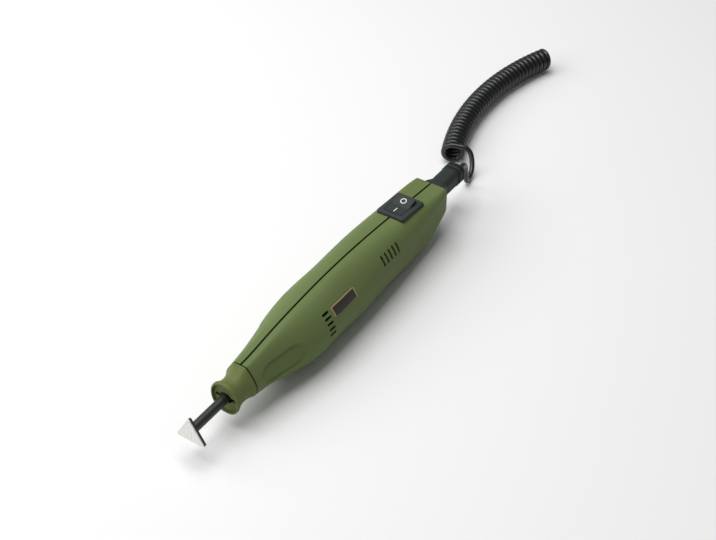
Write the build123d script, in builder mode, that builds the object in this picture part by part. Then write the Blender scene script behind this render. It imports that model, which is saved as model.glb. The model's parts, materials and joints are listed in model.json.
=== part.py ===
from build123d import *
import math
import os

# Pen sander. X runs from the sanding face to the cord, Z is up, and Z = 0 is the table
# under the flat of the belly. Sizes are millimetres.

os.makedirs("parts", exist_ok=True)

# Lengths along the tool
arm_reach = 24.3
nose_cap_length = 13.4
housing_length = 164.9
boot_length = 27.4

# Motor, and the room round it that makes the handle's girth
motor_radius = 12.2
motor_length = 30.8
motor_setback = 65.3
side_room = 2.6
top_room = 3.9
belly_room = 2.4
wall = 1.8
sole_trim = 0.3

# Ends of the handle
joint_top = 11.2
joint_half = 8.9
joint_depth = 7.6
tail_top = 12.7
tail_half = 10.2
tail_depth = 6.7
bulkhead = 4.0
rear_wall = 2.2

# Clearances
slip = 0.05
press = 0.01
running = 0.03
cap_gap = 0.6

# Surface features of the handle
seam_width = 1.0
seam_depth = 1.0
vent_count = 5
side_vent_setback = 1.6
side_vent_pitch = 3.35
side_vent_width = 1.3
side_vent_length = 6.0
side_vent_angle = 39.0
front_vent_lead = 16.0
front_vent_length = 4.6
front_vent_height = 1.3
front_vent_angle = 42.5
front_vent_step = 9.6
recess_setback = 18.0
recess_length = 28.0
recess_width = 10.8
recess_depth = 1.0
recess_angle = 17.0
recess_lean = 10.8
recess_draft = 60.0
recess_spread = 4.0
recess_stand = 1.5
recess_sink = 2.6
plate_setback = 62.9
plate_length = 18.7
plate_height = 5.6
plate_angle = 35.2
plate_pocket = 0.35
plate_proud = 0.2

# Nose cap
lip_half = 8.0
lip_height = 9.0
lip_round = 0.7
lip_round_share = 0.3
lip_band = 1.6
lip_rim = 1.1
neck_half = 6.7
neck_height = 7.3
neck_setback = 6.1
nose_recess = 1.3
nose_wall = 2.8
slot_width = 11.8
slot_height = 2.1
slot_round = 0.9
shaft_window_width = 6.8
shaft_window_height = 5.4
cap_room_width = 11.4
cap_room_height = 9.8
cap_room_round = 4.2
spigot_width = 13.6
spigot_height = 10.8
spigot_wall = 1.2
spigot_length = 3.4
spigot_room_round = 2.4
rim_step = 0.6
rim_start = 2.0
corner_round = 4.6

# Sanding arm
pad_side = 16.5
pad_drop = 0.9
pad_thickness = 1.2
pad_corner = 0.8
sheet_thickness = 0.6
sheet_margin = 0.15
shaft_radius = 2.4
tee_width = 3.0
tee_height = 1.5
tee_length = 9.6
tee_depth = 4.5
stub_length = 3.0

# Swing lever
holder_gap = 1.2
holder_width = 8.4
holder_height = 6.4
holder_floor = 7.4
holder_round = 1.2
shank_width = 7.0
pivot_setback = 31.3
pivot_radius = 1.5
pivot_boss_radius = 4.5
pivot_boss_half = 5.0
bush_wall = 1.0
bush_flange = 0.8
bush_flange_radius = 3.6
bush_length = 4.4
bush_gap = 0.2
pin_seat = 4.5
pin_boss_radius = 3.6
fork_root = 8.0
fork_height = 6.0
tine = 2.2
spring_thickness = 0.5
spring_gap = 0.3
spring_leg_width = 5.0

# Rotor and crank
motor_shaft_radius = 1.0
bush_boss = 2.0
motor_bush_wall = 1.5
fan_gap = 0.8
fan_width = 4.0
fan_radius = 9.5
fan_blades = 9
fan_blade = 0.8
hub_gap = 1.0
hub_length = 5.0
hub_cover = 1.2
hub_radius = 4.5
counterweight_radius = 7.5
counterweight_thickness = 2.6
eccentricity = 0.3
crank_radius = 1.5
crank_shoulder = 0.5
bearing_width = 2.5
bearing_radius = 3.0
bearing_ring = 0.5
ball_count = 8
fork_gap = 0.4
can_wall = 1.0
can_front = 1.2
magnet_thickness = 1.9
magnet_rear_room = 5.8
magnet_inset = 5.0
magnet_angle = 130.0
air_gap = 0.45
commutator_gap = 1.95
core_inset = 8.0
core_slots = 5
core_slot_width = 2.6
core_slot_floor = 4.4
end_turn = 2.5
commutator_radius = 3.2
commutator_length = 4.3
end_cap_flange = 1.6
end_cap_spigot = 1.4
brush_width = 2.6
brush_length = 3.0
brush_height = 2.7
brush_spring = 0.4
terminal_length = 6.0
terminal_thickness = 0.6
terminal_height = 3.0
terminal_offset = 6.5
rib_width = 2.0
rib_inset = 3.0
stop_lip = 2.0

# Housing screws, put in from the left
front_screw_setback = 19.3
front_screw_height = -7.6
motor_screw_setback = 13.2
motor_screw_height = -9.0
switch_screw_lead = 7.5
switch_screw_height = 5.5
tail_screw_lead = 11.6
tail_screw_height = -1.2
screw_radius = 1.1
screw_head_radius = 2.2
screw_head_height = 1.6
screw_cross_length = 2.8
screw_cross_width = 0.6
screw_cross_depth = 0.8
screw_seat = 4.2
screw_grip = 6.5
screw_boss_radius = 3.4

# Rocker switch
bezel_length = 21.0
bezel_width = 16.4
bezel_thickness = 2.1
bezel_sunk = 0.4
bezel_corner = 1.2
switch_length = 18.8
switch_width = 13.0
switch_depth = 11.5
rocker_length = 14.0
rocker_width = 10.4
rocker_gap = 1.0
rocker_side_gap = 0.2
rocker_well = 5.5
rocker_tilt = 11.0
rocker_rise = 0.1
rocker_skirt = 1.6
axle_radius = 0.8
axle_depth = 1.0
axle_seat = 0.8
tab_length = 6.0
tab_width = 4.8
tab_thickness = 0.8
tab_spread = 4.5
mark_thickness = 0.15
ring_radius = 1.7
bar_length = 3.6
mark_width = 0.45
ring_place = 3.5
bar_place = 4.4

# Cord boot, overmoulded on the cord
boot_rise = 4.35
boot_flange_width = 13.8
boot_flange_height = 12.0
boot_flange_length = 4.6
boot_width = 10.6
boot_height = 10.4
boot_taper = 4.0
boot_neck_width = 9.0
boot_neck_height = 8.0
boot_neck_round = 3.2
boot_collar_width = 12.0
boot_collar_height = 10.6
boot_collar_length = 2.0
boot_band = 0.3
boot_band_length = 6.8
boot_groove_places = [2.3, 5.5]
boot_groove_width = 1.1
boot_groove_depth = 0.8
boot_end_round = 0.6
boot_round = 3.4

# Lead wires
wire_radius = 0.65
wire_spread = 1.6
wire_bend = 2.0
wire_run = 5.0

# Curly cord: the curls wind about an arc that lies on the table
cord_radius = 1.5
coil_radius = 5.5
coil_turns = 35.0
coil_pitch = 3.64
coil_leave = 60.0
coil_arc_radius = 165.0
coil_heading = 24.6
coil_start_x = 30.7
coil_start_y = 19.9
biarcs_per_turn = 4
samples_per_biarc = 16
lead_entry_run = 4.5
tail_exit_run = 3.4
plug_back = 24.0

# Plug at the far end
plug_radius = 2.6
plug_length = 16.0
plug_neck_wall = 0.5
plug_neck_length = 4.0
grip_grooves = 4
grip_groove_width = 0.8
grip_groove_depth = 0.4
barrel_radius = 1.75
barrel_bore = 1.05
barrel_length = 9.5
plug_gap = 0.3

# Places along X
overall_length = arm_reach + nose_cap_length + housing_length + boot_length
face_x = -overall_length / 2
lip_x = face_x + arm_reach
joint_x = lip_x + nose_cap_length
rear_x = joint_x + housing_length
boot_end_x = rear_x + boot_length

# Girth of the handle about the drive axis
body_half = motor_radius + side_room + wall
crown = motor_radius + top_room + wall
belly = motor_radius + belly_room + wall
axis_z = belly

# Cross-sections of the handle: share of the length, top, half of the roof, half width,
# shoulder height, shoulder fullness, straight side, depth below the axis, half of the sole,
# fullness of the underside
sections = [
    (0.000, joint_top, 2.8, joint_half, 9.6, 0.24, 1.6, joint_depth, 1.6, 0.52),
    (0.055, 0.670 * crown, 3.0, 0.620 * body_half, 10.8, 0.26, 1.5, 0.537 * belly, 2.3, 0.44),
    (0.117, 0.760 * crown, 3.0, 0.744 * body_half, 12.8, 0.28, 1.4, 0.716 * belly, 3.0, 0.42),
    (0.214, 0.872 * crown, 2.4, 0.944 * body_half, 16.0, 0.41, 3.0, 0.927 * belly, 4.0, 0.36),
    (0.275, 0.922 * crown, 2.2, 1.006 * body_half, 16.0, 0.44, 3.0, 0.982 * belly, 4.5, 0.36),
    (0.438, crown, 2.2, body_half, 16.2, 0.42, 3.0, belly + sole_trim, 5.0, 0.41),
    (0.590, 0.983 * crown, 3.0, 0.958 * body_half, 14.0, 0.48, 4.0, 0.921 * belly, 5.0, 0.44),
    (0.730, 0.905 * crown, 4.6, 0.867 * body_half, 11.0, 0.54, 5.6, 0.915 * belly, 6.2, 0.53),
    (0.814, 0.844 * crown, 5.8, 0.799 * body_half, 8.6, 0.55, 8.5, 0.901 * belly, 7.2, 0.55),
    (0.905, 0.777 * crown, 7.2, 0.728 * body_half, 5.4, 0.55, 10.5, 0.778 * belly, 6.9, 0.55),
    (1.000, tail_top, 8.2, tail_half, 3.2, 0.55, 8.7, tail_depth, 6.5, 0.55),
]
neck_section = (0.0, neck_height, 1.0, neck_half, neck_height - 0.5, 0.55, 1.0, neck_height, 1.0, 0.55)
lip_section = (0.0, lip_height, 1.0, lip_half, lip_height - 0.5, 0.55, 1.0, lip_height, 1.0, 0.55)
switch_section = sections[8]


# Plane square to the drive axis: its x is to the left, its y is up
def across(x, height=0.0):
    return Plane(origin=(x, 0, axis_z + height), x_dir=(0, 1, 0), z_dir=(1, 0, 0))


# Plane along the drive axis that faces outwards at an angle above the side
def outward(x, angle, side):
    lean = math.radians(angle)
    return Plane(
        origin=(x, 0, axis_z),
        x_dir=(1, 0, 0),
        z_dir=(0, -side * math.cos(lean), math.sin(lean)),
    )


# Plane facing left, for what goes in from the side
def leftward(x, height):
    return Plane(origin=(x, 0, axis_z + height), x_dir=(1, 0, 0), z_dir=(0, 1, 0))


# Plane facing up or down from the drive axis
def updown(x, facing):
    return Plane(origin=(x, 0, axis_z), x_dir=(1, 0, 0), z_dir=(0, 0, facing))


# One cross-section of the handle, grown outwards by an amount
def section_outline(x, section, grow=0.0):
    share, top, flat, half, shoulder, fullness, side, depth, sole, under = section
    upper = top + grow
    outer = half + grow
    lower = depth + grow
    spring = top - shoulder
    foot = spring - side
    roof = flat * outer / half
    keel = sole * outer / half
    brow = roof + fullness * (outer - roof)
    cheek = spring + fullness * (upper - spring)
    jaw = foot - under * (foot + lower)
    chin = keel + under * (outer - keel)
    with BuildSketch(across(x)) as outline:
        with BuildLine():
            Line((-roof, upper), (roof, upper))
            Bezier((roof, upper), (brow, upper), (outer, cheek), (outer, spring))
            Line((outer, spring), (outer, foot))
            Bezier((outer, foot), (outer, jaw), (chin, -lower), (keel, -lower))
            Line((keel, -lower), (-keel, -lower))
            Bezier((-keel, -lower), (-chin, -lower), (-outer, jaw), (-outer, foot))
            Line((-outer, foot), (-outer, spring))
            Bezier((-outer, spring), (-outer, cheek), (-brow, upper), (-roof, upper))
        make_face()
    return outline.sketch


# The whole handle as a solid, grown outwards by an amount
def handle_form(grow):
    with BuildPart() as form:
        loft([section_outline(joint_x + s[0] * housing_length, s, grow) for s in sections])
    return form.part


outer_form = handle_form(0.0)
middle_form = handle_form(-wall / 2)
inner_form = handle_form(-wall)

# Motor and crank places along X
motor_front_x = joint_x + motor_setback
motor_rear_x = motor_front_x + motor_length
fan_rear_x = motor_front_x - bush_boss - fan_gap
fan_front_x = fan_rear_x - fan_width
hub_rear_x = fan_front_x - hub_gap
hub_front_x = hub_rear_x - hub_length
bearing_rear_x = hub_front_x - crank_shoulder
bearing_front_x = bearing_rear_x - bearing_width
shaft_front_x = hub_front_x + hub_cover
bush_radius = motor_shaft_radius + motor_bush_wall
rear_bush_end_x = motor_rear_x + end_cap_flange + bush_boss
fork_end_x = hub_front_x - fork_gap
fork_slot = 2 * (bearing_radius + 2 * eccentricity + 2 * slip)
stop_rear_x = motor_rear_x + end_cap_flange + slip
terminal_x = motor_rear_x + end_cap_flange
terminal_end_x = terminal_x + terminal_length

# Surface features along X
side_vent_x = motor_rear_x + side_vent_setback
front_vent_x = motor_front_x - front_vent_lead
recess_x = joint_x + recess_setback
plate_x = joint_x + plate_setback

# Lever and arm places along X
holder_front_x = lip_x + nose_recess + nose_wall + holder_gap
tee_x = holder_front_x + tee_depth
stub_end_x = tee_x + stub_length
holder_rear_x = stub_end_x + holder_floor
pivot_x = joint_x + pivot_setback
pivot_clear = pivot_boss_half + bush_flange + bush_gap
pin_half = pivot_clear + pin_seat
pad_back_x = face_x + sheet_thickness + pad_thickness

# Switch plane on the roof, sloping with it
switch_x = joint_x + switch_section[0] * housing_length
before, after = sections[7], sections[9]
roof_drop = math.atan2(before[1] - after[1], (after[0] - before[0]) * housing_length)
switch_plane = Plane(
    origin=(switch_x, 0, axis_z + switch_section[1]),
    x_dir=(math.cos(roof_drop), 0, -math.sin(roof_drop)),
    z_dir=(math.sin(roof_drop), 0, math.cos(roof_drop)),
)
bezel_top = bezel_thickness - bezel_sunk
boot_z = axis_z + boot_rise


# Ribs and bosses inside the handle, cut to the inside of the wall
screw_plane = leftward(0, 0)
switch_screw_x = switch_x - switch_length / 2 - switch_screw_lead
screw_spots = [
    (joint_x + front_screw_setback, -front_screw_height),
    (motor_rear_x + motor_screw_setback, -motor_screw_height),
    (switch_screw_x, -switch_screw_height),
    (rear_x - tail_screw_lead, -tail_screw_height),
]
with BuildPart() as inner_frame:
    for rib_x in (motor_front_x + rib_inset, motor_rear_x - rib_inset - rib_width):
        with BuildSketch(across(rib_x)):
            Circle(2 * body_half)
            Circle(motor_radius + slip, mode=Mode.SUBTRACT)
        extrude(amount=rib_width)
    for stop_x in (motor_front_x - slip - rib_width, stop_rear_x):
        with BuildSketch(across(stop_x)):
            Circle(2 * body_half)
            Circle(motor_radius - stop_lip, mode=Mode.SUBTRACT)
        extrude(amount=rib_width)
    for facing in (1, -1):
        with BuildSketch(updown(pivot_x, facing).offset(pivot_clear)):
            Circle(pin_boss_radius)
        extrude(amount=body_half)
    with BuildSketch(screw_plane):
        with Locations(*screw_spots):
            Circle(screw_boss_radius)
    extrude(amount=body_half, both=True)
    add(middle_form, mode=Mode.INTERSECT)

# Space inside the handle, between the nose bulkhead and the rear wall
with BuildPart() as cavity:
    add(inner_form)
    with BuildSketch(across(joint_x + bulkhead)):
        Circle(3 * body_half)
    extrude(amount=housing_length - bulkhead - rear_wall, mode=Mode.INTERSECT)

# How far out the surface is at the finger recess
recess_ray = Edge.make_line(
    outward(recess_x, recess_angle, 1).origin,
    outward(recess_x, recess_angle, 1).offset(2 * body_half).origin,
)
recess_reach = (recess_ray & outer_form).length


# Plane along the surface at the finger recess, a little outside it
def recess_plane(side):
    level = outward(recess_x, recess_angle, side).offset(recess_reach)
    lean = math.radians(recess_lean)
    along = level.x_dir * math.cos(lean) + level.z_dir * math.sin(lean)
    away = level.z_dir * math.cos(lean) - level.x_dir * math.sin(lean)
    return Plane(origin=level.origin + away * recess_stand, x_dir=along, z_dir=away)


# Shallow stadium for the finger on each side, with sloping walls
recess_flare = 2 * recess_stand * math.tan(math.radians(recess_draft))
with BuildPart() as finger_recesses:
    for side in (1, -1):
        with BuildSketch(recess_plane(side)):
            SlotOverall(recess_length + recess_flare, recess_width + recess_flare + recess_spread)
        extrude(amount=-recess_stand - recess_sink, taper=recess_draft)
    add(handle_form(-recess_depth), mode=Mode.SUBTRACT)

# Narrow groove that shows the seam of the two shells
with BuildPart() as seam:
    with BuildSketch(leftward((joint_x + rear_x) / 2, 0)):
        Rectangle(2 * housing_length, 4 * body_half)
    extrude(amount=seam_width / 2, both=True)
    add(handle_form(-seam_depth), mode=Mode.SUBTRACT)

# Everything that is cut out of the handle
with BuildPart() as openings:
    # Seat of the nose cap
    with BuildSketch(across(joint_x)):
        RectangleRounded(spigot_width + 2 * slip, spigot_height + 2 * slip, corner_round)
    extrude(amount=bulkhead)
    with BuildSketch(across(joint_x + rim_start - slip)):
        RectangleRounded(
            spigot_width + 2 * rim_step + 2 * slip,
            spigot_height + 2 * rim_step + 2 * slip,
            corner_round,
        )
    extrude(amount=spigot_length - rim_start + 2 * slip)
    # Way through for the cord boot
    with BuildSketch(across(rear_x, boot_z - axis_z)):
        RectangleRounded(boot_neck_width + 2 * slip, boot_neck_height + 2 * slip, boot_neck_round)
    extrude(amount=-rear_wall)
    # Seat and cut-out of the switch
    with BuildSketch(switch_plane.offset(-bezel_sunk)):
        RectangleRounded(bezel_length + 2 * slip, bezel_width + 2 * slip, bezel_corner)
    extrude(amount=top_room + bezel_thickness)
    with BuildSketch(switch_plane):
        Rectangle(switch_length + 2 * slip, switch_width + 2 * slip)
    extrude(amount=-switch_depth)
    # Vents
    for side in (1, -1):
        for place in range(vent_count):
            vent_plane = outward(side_vent_x + place * side_vent_pitch, side_vent_angle, side)
            with BuildSketch(vent_plane.offset(motor_radius + slip)):
                SlotOverall(side_vent_length, side_vent_width, rotation=90)
            extrude(amount=body_half)
            vent_plane = outward(front_vent_x, front_vent_angle - place * front_vent_step, side)
            with BuildSketch(vent_plane.offset(motor_radius + slip)):
                SlotOverall(front_vent_length, front_vent_height)
            extrude(amount=body_half)
    # Holes for the pivot pin and the screws
    with BuildSketch(updown(pivot_x, 1)):
        Circle(pivot_radius + press)
    extrude(amount=pin_half + slip, both=True)
    with BuildSketch(screw_plane.offset(-screw_grip - slip)):
        with Locations(*screw_spots):
            Circle(screw_radius + press)
    extrude(amount=screw_grip + screw_seat + slip)

# Both shells as one, before they are parted on the seam
with BuildPart() as handle:
    add(outer_form)
    with BuildSketch(Plane.XY):
        Rectangle(2 * overall_length, 4 * body_half)
    extrude(amount=-belly, mode=Mode.SUBTRACT)
    add(cavity.part, mode=Mode.SUBTRACT)
    add(inner_frame.part)
    add([openings.part, finger_recesses.part, seam.part], mode=Mode.SUBTRACT)

mid_plane = Plane(origin=(0, 0, 0), x_dir=(1, 0, 0), z_dir=(0, 1, 0))

# Left shell, with the sunk seats of the screw heads
with BuildPart() as housing_left:
    add(handle.part)
    split(bisect_by=mid_plane, keep=Keep.TOP)
    with BuildSketch(screw_plane.offset(screw_seat)):
        with Locations(*screw_spots):
            Circle(screw_head_radius + slip)
    extrude(amount=body_half, mode=Mode.SUBTRACT)
housing_left.part.label = "housing_left"
export_step(housing_left.part, "parts/housing_left.step")


# Outline of the bare plate on the right side, and the pocket it lies in
def plate_blank(margin, depth):
    with BuildPart() as blank:
        with BuildSketch(outward(plate_x, plate_angle, 1)):
            RectangleRounded(plate_length + 2 * margin, plate_height + 2 * margin, pad_corner)
        extrude(amount=2 * body_half)
        add(handle_form(-depth), mode=Mode.SUBTRACT)
    return blank.part


# Right shell, with the pocket of the plate
with BuildPart() as housing_right:
    add(handle.part)
    split(bisect_by=mid_plane, keep=Keep.BOTTOM)
    add(plate_blank(slip, plate_pocket), mode=Mode.SUBTRACT)
housing_right.part.label = "housing_right"
export_step(housing_right.part, "parts/housing_right.step")

# Bare plate
with BuildPart() as side_plate:
    add(plate_blank(0.0, plate_pocket - slip))
    add(handle_form(plate_proud), mode=Mode.INTERSECT)
side_plate.part.label = "side_plate"
export_step(side_plate.part, "parts/side_plate.step")

# Screws
with BuildPart() as housing_screws:
    with BuildSketch(screw_plane.offset(-screw_grip)):
        with Locations(*screw_spots):
            Circle(screw_radius)
    extrude(amount=screw_grip + screw_seat)
    with BuildSketch(screw_plane.offset(screw_seat)):
        with Locations(*screw_spots):
            Circle(screw_head_radius)
    extrude(amount=screw_head_height)
    with BuildSketch(screw_plane.offset(screw_seat + screw_head_height)):
        with Locations(*screw_spots):
            Rectangle(screw_cross_length, screw_cross_width)
            Rectangle(screw_cross_width, screw_cross_length)
    extrude(amount=-screw_cross_depth, mode=Mode.SUBTRACT)
housing_screws.part.label = "housing_screws"
export_step(housing_screws.part, "parts/housing_screws.step")

# Nose cap: shoulder, neck and flared lip, with the slot that the arm goes in by
along_x = (1, 0, 0)
band_x = lip_x + lip_band
neck_x = lip_x + neck_setback
cap_rear_x = joint_x - cap_gap
cap_room_x = lip_x + nose_recess + nose_wall
with BuildPart() as nose_cap:
    loft([
        section_outline(band_x, lip_section),
        section_outline(neck_x, neck_section),
        section_outline(cap_rear_x, sections[0]),
    ])
    extrude(section_outline(band_x, lip_section), amount=lip_round - lip_band, dir=along_x)
    loft([
        section_outline(lip_x, lip_section, -lip_round),
        section_outline(lip_x + lip_round_share * lip_round, lip_section, -lip_round_share * lip_round),
        section_outline(lip_x + lip_round, lip_section),
    ])
    # Rear spigot with its retaining rim
    with BuildSketch(across(cap_rear_x)):
        RectangleRounded(spigot_width, spigot_height, corner_round)
    extrude(amount=cap_gap + spigot_length)
    with BuildSketch(across(joint_x + rim_start)):
        RectangleRounded(spigot_width + 2 * rim_step, spigot_height + 2 * rim_step, corner_round)
    extrude(amount=spigot_length - rim_start)
    # Front recess, slot, shaft window and the room behind them
    dish = section_outline(lip_x, lip_section, -lip_rim)
    extrude(dish, amount=nose_recess, dir=along_x, mode=Mode.SUBTRACT)
    with BuildSketch(across(lip_x)):
        RectangleRounded(slot_width, slot_height, slot_round)
        SlotOverall(shaft_window_width, shaft_window_height)
    extrude(amount=nose_recess + nose_wall, mode=Mode.SUBTRACT)
    with BuildSketch(across(cap_room_x)):
        RectangleRounded(cap_room_width, cap_room_height, cap_room_round)
    extrude(amount=cap_rear_x - cap_room_x, mode=Mode.SUBTRACT)
    with BuildSketch(across(cap_room_x)):
        RectangleRounded(
            spigot_width - 2 * spigot_wall,
            spigot_height - 2 * spigot_wall,
            spigot_room_round,
        )
    extrude(amount=joint_x + spigot_length - cap_room_x, mode=Mode.SUBTRACT)
nose_cap.part.label = "nose_cap"
export_step(nose_cap.part, "parts/nose_cap.step")


# Triangle of the pad and its sheet
def pad_outline(x, side):
    with BuildSketch(across(x, -pad_drop)) as outline:
        RegularPolygon(side / math.sqrt(3), 3, rotation=90)
        fillet(outline.vertices(), pad_corner)
    return outline.sketch


# Sanding arm: triangular pad, round shaft, cross bar and stub
with BuildPart() as sanding_arm:
    extrude(pad_outline(pad_back_x - pad_thickness, pad_side), amount=pad_thickness, dir=along_x)
    with BuildSketch(across(pad_back_x)):
        Circle(shaft_radius)
    extrude(amount=stub_end_x - pad_back_x)
    with BuildSketch(leftward(tee_x, 0)):
        SlotOverall(tee_width, tee_height)
    extrude(amount=tee_length / 2, both=True)
sanding_arm.part.label = "sanding_arm"
export_step(sanding_arm.part, "parts/sanding_arm.step")

# Abrasive sheet on the pad
with BuildPart() as abrasive_sheet:
    extrude(pad_outline(face_x, pad_side - 2 * sheet_margin), amount=sheet_thickness, dir=along_x)
abrasive_sheet.part.label = "abrasive_sheet"
export_step(abrasive_sheet.part, "parts/abrasive_sheet.step")

# Swing lever: slotted holder, shank, pivot boss and rear fork
upright = updown(pivot_x, 1)
bush_outer_radius = pivot_radius + running + bush_wall
with BuildPart() as swing_lever:
    with BuildSketch(across(holder_front_x)):
        RectangleRounded(holder_width, holder_height, holder_round)
    extrude(amount=holder_rear_x - holder_front_x)
    with BuildSketch(across(holder_rear_x)):
        Rectangle(shank_width, shank_width)
    extrude(amount=pivot_x - holder_rear_x)
    with BuildSketch(across(pivot_x)):
        Rectangle(fork_slot + 2 * tine, fork_height)
    extrude(amount=fork_end_x - pivot_x)
    with BuildSketch(across(pivot_x + fork_root)):
        Rectangle(fork_slot, fork_height)
    extrude(amount=fork_end_x - pivot_x, mode=Mode.SUBTRACT)
    with BuildSketch(upright):
        Circle(pivot_boss_radius)
    extrude(amount=pivot_boss_half, both=True)
    with BuildSketch(upright):
        Circle(bush_outer_radius + press)
    extrude(amount=2 * pivot_boss_half, both=True, mode=Mode.SUBTRACT)
    with BuildSketch(across(holder_front_x)):
        Circle(shaft_radius + slip)
    extrude(amount=stub_end_x + slip - holder_front_x, mode=Mode.SUBTRACT)
    with BuildSketch(across(holder_front_x)):
        Rectangle(2 * holder_width, tee_height + 2 * slip)
    extrude(amount=tee_x + tee_width / 2 + slip - holder_front_x, mode=Mode.SUBTRACT)
swing_lever.part.label = "swing_lever"
export_step(swing_lever.part, "parts/swing_lever.step")

# Flanged bushes in the lever
with BuildPart() as lever_bushes:
    for facing in (1, -1):
        bush_plane = updown(pivot_x, facing)
        with BuildSketch(bush_plane.offset(pivot_boss_half)):
            Circle(bush_flange_radius)
        extrude(amount=bush_flange)
        with BuildSketch(bush_plane.offset(pivot_boss_half)):
            Circle(bush_outer_radius)
        extrude(amount=-bush_length)
        with BuildSketch(bush_plane):
            Circle(pivot_radius + running)
        extrude(amount=2 * pivot_boss_half, mode=Mode.SUBTRACT)
lever_bushes.part.label = "lever_bushes"
export_step(lever_bushes.part, "parts/lever_bushes.step")

# Pivot pin, held by the bosses of both shells
with BuildPart() as pivot_pin:
    with BuildSketch(upright):
        Circle(pivot_radius)
    extrude(amount=pin_half, both=True)
    chamfer(pivot_pin.edges().filter_by(GeomType.CIRCLE), pivot_radius / 5)
pivot_pin.part.label = "pivot_pin"
export_step(pivot_pin.part, "parts/pivot_pin.step")

# Jaw spring: a band behind the cross bar, with a leg along each jaw of the holder
spring_rear_x = holder_rear_x - slip
band_front_x = joint_x + spigot_length + spring_gap
spring_outside = press + spring_thickness
with BuildPart() as jaw_spring:
    with BuildSketch(across(band_front_x)):
        RectangleRounded(
            holder_width + 2 * spring_outside,
            holder_height + 2 * spring_outside,
            holder_round + spring_outside,
        )
        RectangleRounded(
            holder_width + 2 * press,
            holder_height + 2 * press,
            holder_round + press,
            mode=Mode.SUBTRACT,
        )
    extrude(amount=spring_rear_x - band_front_x)
    leg_height = holder_height / 2 + press + spring_thickness / 2
    for facing in (1, -1):
        with BuildSketch(across(holder_front_x, facing * leg_height)):
            Rectangle(spring_leg_width, spring_thickness)
        extrude(amount=spring_rear_x - holder_front_x)
jaw_spring.part.label = "jaw_spring"
export_step(jaw_spring.part, "parts/jaw_spring.step")

# Motor can
can_inner = motor_radius - can_wall
with BuildPart() as motor_can:
    with BuildSketch(across(motor_front_x)):
        Circle(motor_radius)
    extrude(amount=motor_length)
    with BuildSketch(across(motor_front_x + can_front)):
        Circle(can_inner)
    extrude(amount=motor_length, mode=Mode.SUBTRACT)
    with BuildSketch(across(motor_front_x - bush_boss)):
        Circle(bush_radius + can_wall)
    extrude(amount=bush_boss + can_front)
    with BuildSketch(across(motor_front_x - bush_boss)):
        Circle(bush_radius + press)
    extrude(amount=2 * bush_boss + can_front, mode=Mode.SUBTRACT)
motor_can.part.label = "motor_can"
export_step(motor_can.part, "parts/motor_can.step")

# Magnets
magnet_x = motor_front_x + magnet_inset
magnet_length = motor_length - magnet_inset - magnet_rear_room
magnet_outer = can_inner - slip
magnet_inner = magnet_outer - magnet_thickness
with BuildPart() as motor_magnets:
    for middle in (0, 180):
        with BuildSketch(across(magnet_x)):
            with BuildLine():
                start = middle - magnet_angle / 2
                CenterArc((0, 0), magnet_outer, start, magnet_angle)
                CenterArc((0, 0), magnet_inner, start, magnet_angle)
                for edge_angle in (start, start + magnet_angle):
                    lean = math.radians(edge_angle)
                    ray = Vector(math.cos(lean), math.sin(lean))
                    Line(ray * magnet_inner, ray * magnet_outer)
            make_face()
        extrude(amount=magnet_length)
motor_magnets.part.label = "motor_magnets"
export_step(motor_magnets.part, "parts/motor_magnets.step")

# Motor end cap
with BuildPart() as motor_end_cap:
    with BuildSketch(across(motor_rear_x)):
        Circle(motor_radius)
    extrude(amount=end_cap_flange)
    with BuildSketch(across(motor_rear_x - end_cap_spigot)):
        Circle(can_inner - slip)
        Circle(can_inner - can_wall - slip, mode=Mode.SUBTRACT)
    extrude(amount=end_cap_spigot)
    with BuildSketch(across(motor_rear_x)):
        Circle(bush_radius + can_wall)
    extrude(amount=end_cap_flange + bush_boss)
    with BuildSketch(across(motor_rear_x)):
        Circle(bush_radius + press)
    extrude(amount=end_cap_flange + bush_boss, mode=Mode.SUBTRACT)
motor_end_cap.part.label = "motor_end_cap"
export_step(motor_end_cap.part, "parts/motor_end_cap.step")


# Plain bearing bush of the motor shaft
def shaft_bush(start_x, end_x):
    with BuildPart() as bush:
        with BuildSketch(across(start_x)):
            Circle(bush_radius)
            Circle(motor_shaft_radius + running, mode=Mode.SUBTRACT)
        extrude(amount=end_x - start_x)
    return bush.part


# Front and rear bushes
with BuildPart() as front_bush:
    add(shaft_bush(motor_front_x - bush_boss, motor_front_x + can_front))
front_bush.part.label = "front_bush"
export_step(front_bush.part, "parts/front_bush.step")

with BuildPart() as rear_bush:
    add(shaft_bush(motor_rear_x, rear_bush_end_x))
rear_bush.part.label = "rear_bush"
export_step(rear_bush.part, "parts/rear_bush.step")

# Motor shaft
with BuildPart() as motor_shaft:
    with BuildSketch(across(shaft_front_x)):
        Circle(motor_shaft_radius)
    extrude(amount=rear_bush_end_x + slip - shaft_front_x)
motor_shaft.part.label = "motor_shaft"
export_step(motor_shaft.part, "parts/motor_shaft.step")

# Armature core with its winding slots
core_x = motor_front_x + core_inset
core_length = motor_length - core_inset - end_turn - slip - commutator_length - commutator_gap
core_outer = magnet_inner - air_gap
with BuildPart() as armature_core:
    with BuildSketch(across(core_x)):
        Circle(core_outer)
        Circle(motor_shaft_radius + press, mode=Mode.SUBTRACT)
        with PolarLocations(core_slot_floor, core_slots):
            Rectangle(core_outer, core_slot_width, align=(Align.MIN, Align.CENTER), mode=Mode.SUBTRACT)
    extrude(amount=core_length)
armature_core.part.label = "armature_core"
export_step(armature_core.part, "parts/armature_core.step")

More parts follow.
